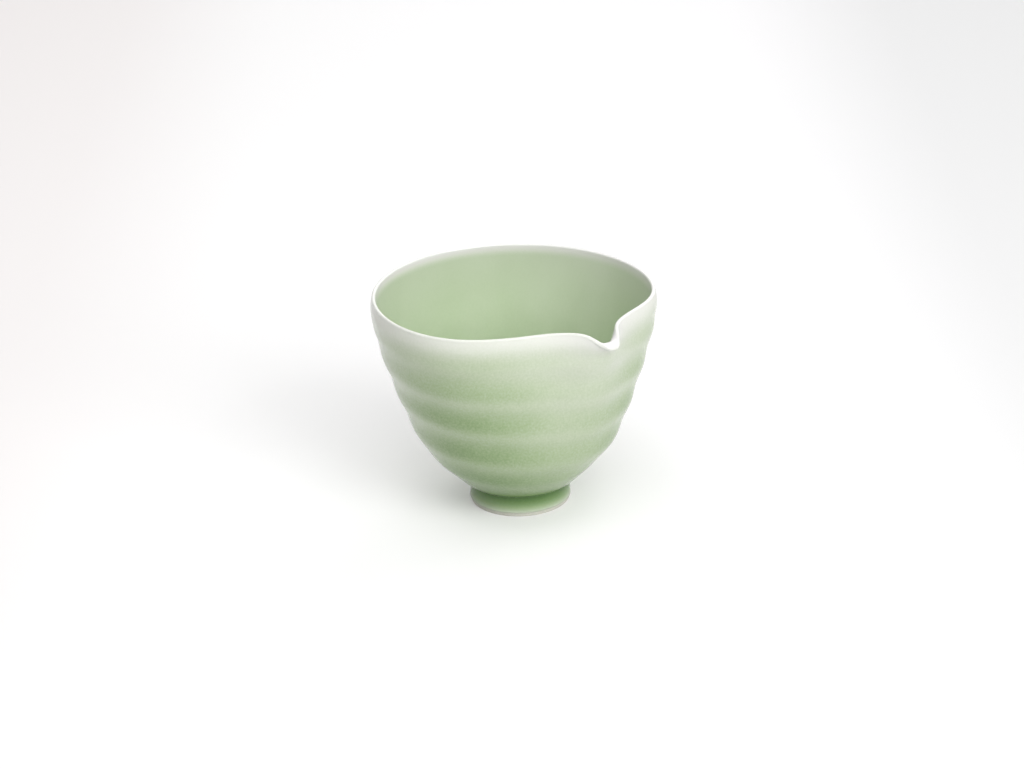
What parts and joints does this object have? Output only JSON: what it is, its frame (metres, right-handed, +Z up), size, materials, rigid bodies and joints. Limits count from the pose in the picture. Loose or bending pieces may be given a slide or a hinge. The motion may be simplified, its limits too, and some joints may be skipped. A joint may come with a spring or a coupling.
{
  "type": "tea pitcher",
  "caption": "Thrown porcelain tea pitcher with a pinched pouring spout, a foot ring and a coat of pale green celadon glaze.",
  "frame": {"origin": "on the table under the middle of the footprint, rim and spout included", "axes": "+Z up along the throwing axis, +X towards the tip of the spout"},
  "size_m": [0.1028, 0.0996, 0.0803],
  "materials": {
    "porcelain": "unglazed white porcelain under the glaze",
    "bare_foot": "fired bare porcelain, smooth and dull, warm white",
    "celadon_glaze": "glossy pale green celadon, white where it runs thin over the lip, darker in grooves and in the pool at the foot",
    "foot_well_glaze": "glossy celadon glaze"
  },
  "bodies": {
    "root": {"bowl": "porcelain", "foot_ring": "bare_foot", "glaze_coat": "celadon_glaze", "foot_well_glaze": "foot_well_glaze"}
  },
  "joints": []
}
